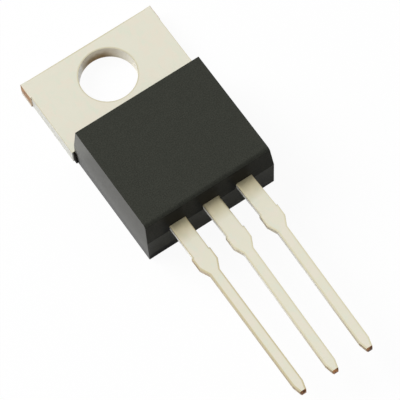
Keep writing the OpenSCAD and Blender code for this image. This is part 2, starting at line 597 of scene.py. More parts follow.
@dataclass(frozen=True)
class GroundSilicon(Finish):
    """Grey silicon with the faint sawing lines of the wafer."""

    relief_um: float = 0.6
    relief_strength: float = 0.3
    metallic: float = 0.6
    saw_mm: float = 0.03
    saw_stretch: float = 0.06
    tint: Colour = (0.16, 0.15, 0.22)
    tint_mm: float = 1.2
    tint_band: Band = (0.4, 0.6)

    def dress(self, on: Surface) -> Socket:
        """Adds a slight tint and the saw lines."""
        on.cover(self.tint, on.ramp(on.noise(self.tint_mm, detail=1.0), self.tint_band))
        return on.noise(self.saw_mm, detail=2.0, stretch=(self.saw_stretch, 1.0, 1.0))


@dataclass(frozen=True)
class SoftMetal(Finish):
    """Solder or aluminium: a grained metal with cloudy shine."""

    relief_um: float = 1.5
    relief_strength: float = 0.4
    metallic: float = 1.0
    grain_mm: float = 0.05
    dark: Colour = (0.40, 0.40, 0.41)
    dark_band: Band = (0.42, 0.66)

    def dress(self, on: Surface) -> Socket:
        """Adds grain to the tone and the relief.

        Args:
            on: the surface.

        Returns:
            The pattern that raises it.
        """
        grain = on.noise(self.grain_mm)
        on.cover(self.dark, on.ramp(grain, self.dark_band))
        return grain


EPOXY = MouldingCompound("epoxy_black", (0.0315, 0.033, 0.027), 0.42)
EPOXY_SIDE = DrawnWall(
    "epoxy_drawn", (0.024, 0.024, 0.0185), 0.30,
    relief_um=1.0, gloss=0.155, pale=(0.040, 0.040, 0.032),
)
# The slope's base colour is darker than the top's: painted shade of the end face turned from the
# light.
EPOXY_SLOPE = LeadEndSlope(
    "epoxy_slope", (0.018, 0.018, 0.014), 0.45,
    relief_um=3.0, gloss=0.05, pale=(0.030, 0.030, 0.024),
)
EPOXY_FOOT = LeadEndFoot(
    "epoxy_foot", (0.024, 0.024, 0.0195), 0.40,
    relief_um=3.0, gloss=0.07, pale=(0.041, 0.042, 0.035),
)
# Near-black: painted shade on the ears in the notch beside the tab.
EPOXY_EAR_SHADE = MouldingCompound(
    "epoxy_dull", (0.006, 0.005, 0.004), 0.70,
    relief_um=8.0, gloss=0.03, pale=(0.012, 0.010, 0.008),
)
TIN = TinPlate("tin_plate", (0.77, 0.75, 0.63), 0.40)
LEAD_TIN = TinPlate("lead_tin", (0.77, 0.745, 0.61), 0.38, edge=(0.72, 0.675, 0.49), shaded_by_moulding=True)
WORN_TIN = TinPlate("worn_tin", (0.77, 0.745, 0.61), 0.38, edge=(0.63, 0.56, 0.36), shaded_by_moulding=True)
TAB_SIDE = ShearedEdge("tab_side", (0.70, 0.70, 0.655), 0.5, deep=(0.62, 0.61, 0.56))
NECK_SIDE = ShearedEdge(
    "neck_side", (0.98, 0.96, 0.91), 0.5, deep=(0.93, 0.90, 0.82), metallic=0.3
)
LEAD_SIDE = ShearedEdge("lead_side", (0.95, 0.93, 0.88), 0.5, deep=(0.84, 0.80, 0.70))
WORN_SIDE = ShearedEdge(
    "worn_side", (0.66, 0.59, 0.45), 0.5, deep=(0.45, 0.37, 0.25), aged=(0.53, 0.44, 0.30)
)
SHOULDER_SIDE = ShearedEdge("shoulder_side", (0.84, 0.78, 0.64), 0.5, deep=(0.66, 0.56, 0.40))
WORN_SHOULDER = ShearedEdge("worn_shoulder", (0.62, 0.52, 0.38), 0.5, deep=(0.44, 0.33, 0.21))
WALL = PunchedWall("punched_wall", (0.72, 0.66, 0.54), 0.45)
STUB_CUT = BareCopper(
    "stub_cut", (0.45, 0.235, 0.085), 0.5, dull=(0.29, 0.15, 0.065), plated_z=(0.785, 0.185)
)
BAR_CUT = BareCopper("bar_cut", (0.90, 0.85, 0.74), 0.5, dull=(0.60, 0.50, 0.37))
WORN_BAR_CUT = BareCopper("worn_bar_cut", (0.58, 0.45, 0.32), 0.5, dull=(0.36, 0.26, 0.17))
TIP_SIDE = BareCopper("tip_side", (0.56, 0.46, 0.31), 0.5, dull=(0.36, 0.27, 0.17))
TIP_CUT = BareCopper("tip_cut", (0.38, 0.18, 0.075), 0.5, dull=(0.085, 0.042, 0.024))
SILICON = GroundSilicon("silicon_grey", (0.12, 0.125, 0.15), 0.22)
SOLDER = SoftMetal("solder_dull", (0.52, 0.52, 0.53), 0.5)
ALUMINIUM = SoftMetal(
    "bond_aluminium", (0.78, 0.79, 0.80), 0.3, grain_mm=0.02, dark=(0.62, 0.63, 0.65)
)

Paint = Callable[[Vector, Vector], Finish]


# Mesh work, in millimetres until the piece is finished

def new_object(name: str, mesh: bpy.types.Mesh) -> bpy.types.Object:
    """Links a new object at the origin.

    Args:
        name: name of the object.
        mesh: its mesh.

    Returns:
        The object.
    """
    made = bpy.data.objects.new(name, mesh)
    bpy.context.scene.collection.objects.link(made)
    return made


def mesh_from(bm: bmesh.types.BMesh, name: str) -> bpy.types.Mesh:
    """Turns a bmesh into a mesh with outward faces, and frees it.

    Args:
        bm: the bmesh.
        name: name of the mesh.

    Returns:
        The mesh.
    """
    bmesh.ops.recalc_face_normals(bm, faces=bm.faces)
    mesh = bpy.data.meshes.new(name)
    bm.to_mesh(mesh)
    bm.free()
    return mesh


def solid(name: str, bm: bmesh.types.BMesh) -> bpy.types.Object:
    """Makes an object of a bmesh, which is freed."""
    return new_object(name, mesh_from(bm, name))


def settled(obj: bpy.types.Object) -> bpy.types.Object:
    """Replaces an object's mesh by its evaluated result and drops its modifiers.

    Args:
        obj: an object with modifiers.

    Returns:
        The same object with a plain mesh.
    """
    graph = bpy.context.evaluated_depsgraph_get()
    result = bpy.data.meshes.new_from_object(
        obj.evaluated_get(graph), preserve_all_data_layers=True, depsgraph=graph
    )
    obj.modifiers.clear()
    obj.data = result
    return obj


SOCKET_KINDS = {
    float: "NodeSocketFloat", int: "NodeSocketInt",
    Vector: "NodeSocketVector", bpy.types.Material: "NodeSocketMaterial",
}


def drawn(
    name: str, recipe: str, draw: Callable[[Tree, Any], Socket], values: dict[str, Any]
) -> bpy.types.Object:
    """Makes an object whose mesh a geometry tree draws, realizes and paints.

    Args:
        name: name of the object.
        recipe: name of the geometry tree, which is made once.
        draw: takes the tree and its inputs and gives the drawn geometry.
        values: value of each input, with the material as Finish.

    Returns:
        The object with its finished mesh.
    """
    group = bpy.data.node_groups.get(recipe)
    if not group:
        group = bpy.data.node_groups.new(recipe, "GeometryNodeTree")
        group.interface.new_socket("Geometry", in_out="OUTPUT", socket_type="NodeSocketGeometry")
        for label, value in values.items():
            group.interface.new_socket(label, in_out="INPUT", socket_type=SOCKET_KINDS[type(value)])
        tree = Tree(group)
        size = tree.node("NodeGroupInput").outputs
        real = tree.node("GeometryNodeRealizeInstances", {"Geometry": draw(tree, size)}).outputs[0]
        done = tree.node("GeometryNodeSetMaterial", {"Geometry": real, "Material": size["Finish"]})
        tree.node("NodeGroupOutput", {"Geometry": done.outputs[0]})
    obj = new_object(name, bpy.data.meshes.new(name))
    step = obj.modifiers.new(recipe, "NODES")
    step.node_group = group
    for item in group.interface.items_tree:
        if item.in_out == "INPUT":
            step[item.identifier] = values[item.name]
    return settled(obj)


def joined_geometry(tree: Tree, *parts: Socket) -> Socket:
    """Adds a Join Geometry node over several meshes.

    Args:
        tree: the tree to add to.
        parts: the meshes.

    Returns:
        The joined mesh.
    """
    join = tree.node("GeometryNodeJoinGeometry")
    for part in parts:
        tree.tree.links.new(part, join.inputs[0])
    return join.outputs[0]


def both(test: Callable[[Vector], bool]) -> EdgeTest:
    """Makes an edge test that passes where both ends of an edge pass a test on points."""
    return lambda a, b: test(a) and test(b)


def above(height: float) -> EdgeTest:
    """Makes an edge test that passes where both ends lie above a height."""
    return both(lambda p: p.z > height + TOUCH_MM)


def round_edges(bm: bmesh.types.BMesh, test: EdgeTest, radius: float, segments: int = 3) -> None:
    """Rounds the sharp edges that pass a test.

    Args:
        bm: the solid.
        test: takes the two ends of an edge and says whether it is rounded.
        radius: radius of the rounding.
        segments: facets across the rounding.
    """
    bm.normal_update()
    chosen = [
        e for e in bm.edges
        if len(e.link_faces) == 2
        and e.calc_face_angle(0.0) > radians(SHARP_DEG)
        and test(e.verts[0].co, e.verts[1].co)
    ]
    bmesh.ops.bevel(
        bm, geom=chosen, offset=radius, offset_type="OFFSET", segments=segments,
        profile=0.5, affect="EDGES", clamp_overlap=True,
    )


def roll_over(
    bm: bmesh.types.BMesh,
    top: float,
    width: float,
    depth: float,
    share: Callable[[Vector], float] = lambda point: 1.0,
    steps: int = 5,
) -> None:
    """Draws the outline of the upper face down in a curve, as a punch does on its entry side.

    Args:
        bm: the stamped solid.
        top: height of the upper face.
        width: width of the curve, inward from the outline.
        depth: depth of the curve at the outline.
        share: how much of the depth is reached at a point, 0 to 1.
        steps: facets across the curve.
    """
    bm.normal_update()
    face_up = [
        f for f in bm.faces
        if f.normal.z > LEVEL_Z and abs(f.calc_center_median().z - top) < TOUCH_MM
    ]
    turns = [pi / 2 * i / steps for i in range(steps + 1)]
    for turn, following in zip(turns, turns[1:]):
        ring = bmesh.ops.inset_region(
            bm, faces=face_up, thickness=width * (cos(turn) - cos(following)),
            use_boundary=True, use_even_offset=True,
        )["faces"]
        inner = {v for f in face_up for v in f.verts}
        for vert in {v for f in ring for v in f.verts} - inner:
            vert.co.z -= depth * (1.0 - sin(turn)) * share(vert.co)


def prism(outlines: Iterable[Sequence[Point]], low: float, high: float) -> bmesh.types.BMesh:
    """Raises flat outlines that share edges into one solid.

    Args:
        outlines: polygons in X and Y; neighbours share whole edges.
        low: height of the lower face.
        high: height of the upper face.

    Returns:
        The closed solid.
    """
    bm = bmesh.new()
    known: dict[Point, bmesh.types.BMVert] = {}
    for outline in outlines:
        corners = []
        for x, y in outline:
            key = (round(x, 6), round(y, 6))
            if key not in known:
                known[key] = bm.verts.new((x, y, low))
            corners.append(known[key])
        bm.faces.new(corners)
    top = bmesh.ops.extrude_face_region(bm, geom=list(bm.faces))["geom"]
    for part in top:
        if isinstance(part, bmesh.types.BMVert):
            part.co.z = high
    bmesh.ops.recalc_face_normals(bm, faces=bm.faces)
    return bm


def slab(low: Sequence[float], high: Sequence[float]) -> bmesh.types.BMesh:
    """Makes a box between its lowest and its highest corner."""
    outline = [(low[0], low[1]), (high[0], low[1]), (high[0], high[1]), (low[0], high[1])]
    return prism([outline], low[2], high[2])


class Cut(Enum):
    """How one solid is combined with another."""

    JOIN = "UNION"
    TAKE_OUT = "DIFFERENCE"


def sunk_copy(
    piece: bpy.types.Object, seats: Sequence[float], depth: float = 0.05
) -> bpy.types.Object:
    """Copies a solid with the faces that rest on something drawn down, so that the copy cuts clean.

    Args:
        piece: the solid that is copied.
        seats: heights of the faces that rest on something.
        depth: how far they go down.

    Returns:
        The copy.
    """
    mesh = piece.data.copy()
    for vert in mesh.vertices:
        if any(abs(vert.co.z - seat) < TOUCH_MM for seat in seats):
            vert.co.z -= depth
    return new_object("cutter", mesh)


def combine(base: bpy.types.Object, other: bpy.types.Object, how: Cut = Cut.JOIN) -> None:
    """Joins another solid to a solid, or takes it out, and removes the other.

    Args:
        base: the solid that changes.
        other: the solid that is joined or taken out.
        how: what to do with it.
    """
    step = base.modifiers.new("combine", "BOOLEAN")
    step.operation = how.value
    step.solver = "EXACT"
    step.object = other
    settled(base)
    bpy.data.objects.remove(other)


def finish_piece(
    obj: bpy.types.Object, node: str, paint: Finish | Paint, smooth_to: float = 32.0
) -> None:
    """Turns a piece into metres, dresses it, lets it stand for its node and reports it.

    Args:
        obj: the piece.
        node: the node that it replaces.
        paint: one finish, or a rule that picks a face's finish from its centre and normal.
        smooth_to: edges flatter than this angle are shaded smooth.
    """
    bm = bmesh.new()
    bm.from_mesh(obj.data)
    bmesh.ops.remove_doubles(bm, verts=bm.verts, dist=WELD_MM)
    bmesh.ops.dissolve_degenerate(bm, edges=bm.edges, dist=WELD_MM)
    bm.normal_update()
    used: list[Finish] = []
    for face in bm.faces:
        plain = isinstance(paint, Finish)
        finish = paint if plain else paint(face.calc_center_median(), face.normal)
        if finish not in used:
            used.append(finish)
        face.smooth = True
        face.material_index = used.index(finish)
    obj.data.materials.clear()
    for finish in used:
        obj.data.materials.append(finish.material())
    bm.to_mesh(obj.data)
    bm.free()
    obj.data.transform(Matrix.Scale(MM, 4))
    obj.data.set_sharp_from_angle(angle=radians(smooth_to))
    weighted = obj.modifiers.new("weighted", "WEIGHTED_NORMAL")
    weighted.keep_sharp = True
    weighted.weight = NORMAL_WEIGHT
    settled(obj)
    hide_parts(node)
    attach(obj, "root")
    along = zip(*(v.co for v in obj.data.vertices))
    spans = " x ".join(f"{(max(line) - min(line)) / MM:.2f}" for line in along)
    log.info("%s stands for %s: %d faces, %s mm", obj.name, node, len(obj.data.polygons), spans)


# Leads

@dataclass(frozen=True)
class LeadDress:
    """The finishes of one lead: faces, sheared sides, cuts at the dam bar and sides below them."""

    face: Finish
    side: Finish
    bar: Finish
    shoulder: Finish


PLAIN_LEAD = LeadDress(LEAD_TIN, LEAD_SIDE, BAR_CUT, SHOULDER_SIDE)
WORN_LEAD = LeadDress(WORN_TIN, WORN_SIDE, WORN_BAR_CUT, WORN_SHOULDER)


@dataclass(frozen=True)
class LeadBlank:
    """Outline of a lead, measured outward from the moulding's end face, in millimetres."""

    wide_w: float = 1.24
    dam_bar_w: float = 1.40
    slim_w: float = 0.74
    tip_w: float = 0.38
    dam_bar_start: float = 2.60
    dam_bar_l: float = 0.90
    shoulder_l: float = 0.70
    tip_l: float = 0.70
    length: float = 14.08
    rollover_w: float = 0.18
    rollover_d: float = 0.05
    burr_r: float = 0.02
    bare_tip: float = 0.12
    pinch: float = 0.85
    bar_drift: float = 0.0
    tip_drift: float = 0.0
    flat_above: float = 0.3
    tinned_root: float = 0.3

    @staticmethod
    def draw(tree: Tree, size: Any) -> Socket:
        """Draws the outline of a lead and raises it.

        Args:
            tree: the tree to add to.
            size: the outputs of the tree's inputs.

        Returns:
            The lead's mesh.
        """
        dam_end = tree.math("ADD", size["Dam Bar Start"], size["Dam Bar Length"])
        widths = (
            size["Wide Width"], size["Wide Width"], size["Dam Bar Width"], size["Dam Bar Width"],
            size["Slim Width"], size["Slim Width"], size["Tip Width"],
        )
        places = (
            tree.math("MULTIPLY", size["Root"], -1.0),
            size["Dam Bar Start"],
            size["Dam Bar Start"],
            dam_end,
            tree.math("ADD", dam_end, size["Shoulder Length"]),
            tree.math("SUBTRACT", size["Length"], size["Tip Length"]),
            size["Length"],
        )
        stations = len(widths)
        index = tree.node("GeometryNodeInputIndex").outputs[0]
        station = tree.math("MINIMUM", index, tree.math("SUBTRACT", 2 * stations - 1, index))
        going_out = tree.math("LESS_THAN", index, stations)
        side = tree.math("SUBTRACT", tree.math("MULTIPLY", going_out, 2.0), 1.0)
        half = tree.math("MULTIPLY", LeadBlank.chosen(tree, station, widths), 0.5)
        out = tree.math("MULTIPLY", LeadBlank.chosen(tree, station, places), -1.0)
        line = tree.node("GeometryNodeMeshLine", {"Count": 2 * stations}).outputs[0]
        placed = tree.node("GeometryNodeSetPosition", {
            "Geometry": line,
            "Position": tree.combine(tree.math("MULTIPLY", half, side), out, 0.0),
        }).outputs[0]
        outline = tree.node("GeometryNodeMeshToCurve", {"Mesh": placed}).outputs[0]
        closed = tree.node("GeometryNodeSetSplineCyclic", {
            "Geometry": outline, "Cyclic": True,
        }).outputs[0]
        flat = tree.node("GeometryNodeFillCurve", {"Curve": closed}, mode="NGONS").outputs[0]
        raised = tree.node("GeometryNodeExtrudeMesh", {
            "Mesh": flat, "Offset": tree.combine(0.0, 0.0, 1.0), "Offset Scale": size["Thickness"],
        }).outputs[0]
        under = tree.node("GeometryNodeFlipFaces", {"Mesh": flat}).outputs[0]
        return tree.node("GeometryNodeMergeByDistance", {
            "Geometry": joined_geometry(tree, raised, under), "Distance": TOUCH_MM,
        }).outputs[0]

    @staticmethod
    def chosen(tree: Tree, station: Any, values: Sequence[Any]) -> Socket:
        """Adds a switch that picks one value by the station's number.

        Args:
            tree: the tree to add to.
            station: the station's number.
            values: the value at each station.

        Returns:
            The picked value.
        """
        switch = tree.node("GeometryNodeIndexSwitch", data_type="FLOAT")
        while len(switch.index_switch_items) < len(values):
            switch.index_switch_items.new()
        for number, value in enumerate((station, *values)):
            tree.tree.links.new(value, switch.inputs[number])
        return switch.outputs[0]

    def build(self, name: str, x: float, root: float, at: Layout) -> bpy.types.Object:
        """Builds one lead with its rolled-over edges.

        Args:
            name: name of the object.
            x: place of the lead across the row.
            root: length of the lead inside the moulding.
            at: the shared places.

        Returns:
            The lead as a solid in millimetres.
        """
        obj = drawn(name, "lead_blank", self.draw, {
            "Wide Width": self.wide_w, "Dam Bar Width": self.dam_bar_w,
            "Slim Width": self.slim_w, "Tip Width": self.tip_w,
            "Dam Bar Start": self.dam_bar_start, "Dam Bar Length": self.dam_bar_l,
            "Shoulder Length": self.shoulder_l, "Tip Length": self.tip_l, "Length": self.length,
            "Root": root, "Thickness": at.lead_top - at.lead_z, "Finish": TIN.material(),
        })
        bm = bmesh.new()
        bm.from_mesh(obj.data)
        bmesh.ops.translate(bm, verts=bm.verts, vec=(x, at.lead_end_y, at.lead_z))
        round_edges(bm, both(lambda p: p.z < at.lead_z + TOUCH_MM), self.burr_r, segments=2)
        roll_over(bm, at.lead_top, self.rollover_w, self.rollover_d)
        self.pinch_tip(bm, x, at)
        for vert in bm.verts:
            vert.co.x += self.drift(at.lead_end_y - vert.co.y, root)
        obj.data = mesh_from(bm, name)
        return obj

    def drift(self, out: float, root: float) -> float:
        """Gives how far handling has bent the lead aside.

        Args:
            out: distance outward from the moulding's end face.
            root: length of the lead inside the moulding, where it is still straight.

        Returns:
            The offset along X.
        """
        if out < self.dam_bar_start:
            return self.bar_drift * max(out + root, 0.0) / (self.dam_bar_start + root)
        share = (out - self.dam_bar_start) / (self.length - self.dam_bar_start)
        return self.bar_drift + (self.tip_drift - self.bar_drift) * share

    def pinch_tip(self, bm: bmesh.types.BMesh, x: float, at: Layout) -> None:
        """Marks off the bare end of the lead and pinches it a little, as the cut does.

        Args:
            bm: the lead.
            x: place of the lead across the row.
            at: the shared places.
        """
        everything = [*bm.verts, *bm.edges, *bm.faces]
        mark = at.tip_y + self.bare_tip
        bmesh.ops.bisect_plane(
            bm, geom=everything, plane_co=(0.0, mark, 0.0), plane_no=(0.0, 1.0, 0.0)
        )
        middle = Vector((x, 0.0, (at.lead_z + at.lead_top) / 2))
        for vert in bm.verts:
            share = (mark - vert.co.y) / self.bare_tip
            if share > TOUCH_MM:
                scale = 1.0 - (1.0 - self.pinch) * share
                vert.co.x = middle.x + (vert.co.x - middle.x) * scale
                vert.co.z = middle.z + (vert.co.z - middle.z) * scale

    def paint(self, at: Layout, dress: LeadDress) -> Paint:
        """Gives the rule for a lead's finishes: tin, sheared sides and bare cuts.

        Args:
            at: the shared places.
            dress: the finishes.

        Returns:
            A rule from a face's centre and normal to its finish.
        """
        dam_start = at.lead_end_y - self.dam_bar_start
        dam_end = dam_start - self.dam_bar_l

        def rule(centre: Vector, normal: Vector) -> Finish:
            """Picks the finish of one face.

            Args:
                centre: centre of the face.
                normal: its normal.

            Returns:
                The face's finish.
            """
            if centre.y < at.tip_y + self.bare_tip:
                return TIP_CUT
            if abs(normal.z) > self.flat_above or centre.y > at.lead_end_y + self.tinned_root:
                return dress.face
            if centre.y < at.tip_y + self.tip_l:
                return TIP_SIDE
            if centre.y > dam_start:
                return NECK_SIDE
            if dam_end > centre.y > dam_end - self.shoulder_l:
                return dress.shoulder
            return dress.bar if centre.y > dam_end else dress.side

        return rule


class Side(Enum):
    """The two outer leads, by the sign of their X."""

    BASE = -1
    EMITTER = 1


@dataclass(frozen=True)
class OuterLead:
    """Base or emitter lead with its bonding post inside the moulding."""

    side: Side
    layout: Layout
    blank: LeadBlank
    post_w: float = 2.50
    post_l: float = 1.40
    post_cover: float = 0.90
    post_shift: float = 0.20

    @property
    def node(self) -> str:
        """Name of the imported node."""
        return f"{self.side.name.lower()}_lead"

    @property
    def spot(self) -> Vector:
        """Bonding spot in the middle of the post."""
        return Vector((
            self.side.value * (self.layout.pitch + self.post_shift),
            self.layout.lead_end_y + self.post_cover + self.post_l / 2,
            self.layout.lead_top,
        ))

    def build(self) -> bpy.types.Object:
        """Builds the lead and joins its post to it.

        Returns:
            The lead as a solid in millimetres.
        """
        at, spot = self.layout, self.spot
        root = self.post_cover + self.post_l / 2
        lead = self.blank.build(f"{self.node}_stamped", self.side.value * at.pitch, root, at)
        half_w, half_l = self.post_w / 2, self.post_l / 2
        low = Vector((spot.x - half_w, spot.y - half_l, at.lead_z))
        high = Vector((spot.x + half_w, spot.y + half_l, at.lead_top))
        post = slab(low, high)
        roll_over(post, high.z, self.blank.rollover_w, self.blank.rollover_d)
        combine(lead, solid("post", post))
        return lead

    def dress(self, lead: bpy.types.Object) -> None:
        """Dresses the lead."""
        finishes = WORN_LEAD if self.side is Side.BASE else PLAIN_LEAD
        finish_piece(lead, self.node, self.blank.paint(self.layout, finishes))


# Tab, die pad and middle lead

@dataclass(frozen=True)
class StampedStrip:
    """The one strip that holds the tab, the die pad, the riser and the middle lead."""

    layout: Layout
    blank: LeadBlank
    tab_w: float = 10.16
    stub_l: float = 1.20
    stub_root: float = 0.40
    stub_drop: float = 0.01
    stub_r: float = 0.024
    pad_w: float = 7.80
    pad_l: float = 5.80
    ledge_w: float = 0.40
    ledge_z: float = 0.55
    ledge_root: float = 0.50
    riser_w: float = 1.24
    riser_l: float = 1.50
    rollover_w: float = 0.20
    rollover_d: float = 0.06
    rollover_start: float = 0.35
    hole_roll: float = 0.6
    hole_rim: float = 0.05
    hole_steps: int = 96
    burr_r: float = 0.03
    flat_above: float = 0.2
    stub_end_below: float = -0.5

    @property
    def pad_end_y(self) -> float:
        """End of the die pad inside the moulding."""
        return self.layout.mould_y - self.pad_l

    @property
    def rise_end_y(self) -> float:
        """Place where the riser reaches the plane of the leads."""
        return self.pad_end_y - self.riser_l

    def half_plan(self, side: int) -> list[Point]:
        """Draws half of the tab and pad, with half of the hole.

        Args:
            side: -1 or 1, the sign of X.

        Returns:
            The outline of the half, from the middle line round to it again.
        """
        half, pad, at = self.tab_w / 2, self.pad_w / 2, self.layout
        outer = [
            (0.0, self.pad_end_y), (pad, self.pad_end_y), (pad, at.mould_y),
            (half, at.mould_y), (half, at.tab_end_y), (0.0, at.tab_end_y),
        ]
        steps = self.hole_steps // 2
        turns = [pi / 2 - pi * i / steps for i in range(steps + 1)]
        hole = [(at.hole_r * cos(a), at.hole_r * sin(a)) for a in turns]
        return [(side * x, y) for x, y in outer + hole]

    def in_hole(self, point: Vector, rim: float) -> bool:
        """Says whether a point lies inside the hole or on a rim of some width around it."""
        return Vector((point.x, point.y)).length < self.layout.hole_r + rim

    def roll_share(self, point: Vector) -> float:
        """Gives how much of the roll-over a point has: none at the moulding, less at the hole.

        Args:
            point: a point of the plate.

        Returns:
            The share, 0 to 1.
        """
        out = (point.y - self.layout.mould_y - self.rollover_w) / self.rollover_start
        share = min(max(out, 0.0), 1.0) ** 2
        by_hole = self.in_hole(point, self.rollover_w + self.hole_rim)
        return share * self.hole_roll if by_hole else share

    def plate(self) -> bpy.types.Object:
        """Builds the tab and pad with rolled-over front edges.

        Returns:
            The plate.
        """
        at, rim = self.layout, self.rollover_w + self.hole_rim
        bm = prism([self.half_plan(side) for side in SIDES], 0.0, at.tab_t)
        low_outer = both(
            lambda p: p.z < TOUCH_MM and p.y > at.mould_y + SLACK_MM and not self.in_hole(p, rim)
        )
        round_edges(bm, low_outer, self.burr_r, segments=2)
        roll_over(bm, at.tab_t, self.rollover_w, self.rollover_d, self.roll_share)
        return solid("tab_stamped", bm)

    def stub(self, side: int) -> bpy.types.Object:
        """Builds the sheared stub that joined the tab to its carrier strip.

        Args:
            side: -1 or 1, the sign of X.

        Returns:
            The stub as a solid that reaches a little into the tab.
        """
        at, strip = self.layout, Extent.of("tab_with_middle_lead")
        end = strip.high.x if side > 0 else strip.low.x
        left, right = sorted((side * (self.tab_w / 2 - self.stub_root), end))
        front = at.tab_t - self.stub_drop
        bm = slab((left, at.tab_end_y - self.stub_l, 0.0), (right, at.tab_end_y, front))
        round_edges(bm, both(lambda p: abs(p.x) > self.tab_w / 2), self.stub_r)
        return solid("stub", bm)

    def ledge(self, side: int) -> bpy.types.Object:
        """Builds the thinned ledge along one side of the pad, which the moulding grips.

        Args:
            side: -1 or 1, the sign of X.

        Returns:
            The ledge as a solid that reaches a little into the pad.
        """
        half, at = self.pad_w / 2, self.layout
        left, right = sorted((side * (half - self.ledge_root), side * (half + self.ledge_w)))
        bm = slab((left, self.pad_end_y, self.ledge_z), (right, at.mould_y, at.tab_t))
        return solid("ledge", bm)

    def riser(self) -> bpy.types.Object:
        """Builds the slanting rise from the pad to the plane of the leads.

        Returns:
            The riser.
        """
        top, low, high = self.layout.tab_t, self.layout.lead_z, self.layout.lead_top
        foot, head, thick = self.pad_end_y, self.rise_end_y, high - low
        profile = [
            (foot + thick, top), (foot + thick, top - thick), (foot, top - thick), (head, low),
            (head - thick, low), (head - thick, high),
            (head + thick / 2, high), (foot + thick / 2, top),
        ]
        bm = prism([profile], -self.riser_w / 2, self.riser_w / 2)
        for vert in bm.verts:
            vert.co = Vector((vert.co.z, vert.co.x, vert.co.y))
        return solid("riser", bm)

    def build(self) -> bpy.types.Object:
        """Builds the strip as one solid.

        Returns:
            The strip in millimetres.
        """
        strip = self.plate()
        for side in SIDES:
            combine(strip, self.stub(side))
            combine(strip, self.ledge(side))
        combine(strip, self.riser())
        root = self.rise_end_y - self.layout.lead_end_y
        combine(strip, self.blank.build("middle_lead", 0.0, root, self.layout))
        return strip

    def paint(self, centre: Vector, normal: Vector) -> Finish:
        """Picks the finish of one face.

        Args:
            centre: centre of the face.
            normal: its normal.

        Returns:
            The face's finish.
        """
        at = self.layout
        if centre.y < self.rise_end_y:
            return self.blank.paint(at, PLAIN_LEAD)(centre, normal)
        on_stub = centre.y > at.tab_end_y - self.stub_l - SLACK_MM
        if on_stub and abs(centre.x) > self.tab_w / 2:
            return WORN_BAR_CUT if normal.y < self.stub_end_below else STUB_CUT
        if abs(normal.z) > self.flat_above or centre.y < at.mould_y:
            return TIN
        return WALL if self.in_hole(centre, SLACK_MM) else TAB_SIDE

    def dress(self, strip: bpy.types.Object) -> None:
        """Dresses the strip."""
        finish_piece(strip, "tab_with_middle_lead", self.paint)


# Chip, solder and bond wires

@dataclass(frozen=True)
class Chip:
    """Silicon die on its solder, with the aluminium combs of base and emitter on top."""

    solder_corner_r: float = 0.25
    solder_rim_r: float = 0.02
    film_t: float = 0.008
    fingers: int = 8
    finger_w: float = 0.55
    finger_l: float = 0.86
    saw_chamfer: float = 0.02

    def solder(self) -> bpy.types.Object:
        """Builds the solder as a thin pillow with a sloping rim.

        Returns:
            The solder in millimetres.
        """
        box = Extent.of("die_solder")
        bm = slab(box.low, box.high)
        round_edges(bm, lambda a, b: abs(a.z - b.z) > TOUCH_MM, self.solder_corner_r, segments=4)
        round_edges(bm, above(box.high.z - 2 * TOUCH_MM), self.solder_rim_r, segments=2)
        return solid("solder_pillow", bm)

    @staticmethod
    def draw(tree: Tree, size: Any) -> Socket:
        """Lays a row of metal fingers.

        Args:
            tree: the tree to add to.
            size: the outputs of the tree's inputs.

        Returns:
            The fingers.
        """
        line = tree.node("GeometryNodeMeshLine", {
            "Count": size["Fingers"],
            "Start Location": tree.combine(size["Low X"], size["Low Y"], size["Height"]),
            "Offset": tree.combine(size["Pitch"], 0.0, 0.0),
        }).outputs[0]
        bar = tree.node("GeometryNodeMeshCube", {
            "Size": tree.combine(size["Width"], size["Length"], size["Film"]),
        }).outputs[0]
        laid = tree.node("GeometryNodeInstanceOnPoints", {"Points": line, "Instance": bar})
        return laid.outputs[0]

    def build(self) -> bpy.types.Object:
        """Builds the die with its combs as one solid.

        Returns:
            The die in millimetres.
        """
        box = Extent.of("silicon_die")
        film = box.high.z - self.film_t / 2
        bm = slab(box.low, (box.high.x, box.high.y, film))
        round_edges(bm, above(box.low.z), self.saw_chamfer, segments=1)
        die = solid("die_sawn", bm)
        span = box.high - box.low
        pitch = span.x / (self.fingers + 1)
        combine(die, drawn("comb", "chip_comb", self.draw, {
            "Width": pitch * self.finger_w, "Length": span.y * self.finger_l, "Film": self.film_t,
            "Pitch": pitch, "Low X": box.low.x + pitch, "Low Y": (box.low.y + box.high.y) / 2,
            "Height": film, "Fingers": self.fingers, "Finish": ALUMINIUM.material(),
        }))
        return die

    def dress(self, die: bpy.types.Object, solder: bpy.types.Object) -> None:
        """Dresses the chip and its solder.

        Args:
            die: the solid from build.
            solder: the solid from solder.
        """
        film = Extent.of("silicon_die").high.z - self.film_t / 2
        finish_piece(
            die, "silicon_die",
            lambda centre, normal: ALUMINIUM if centre.z > film + TOUCH_MM else SILICON,
        )
        finish_piece(solder, "die_solder", SOLDER)


ARCH_STEPS = 40
ROUND_STEPS = 20
FOOT_STEPS = 3
FOOT_ROUNDING = 0.3


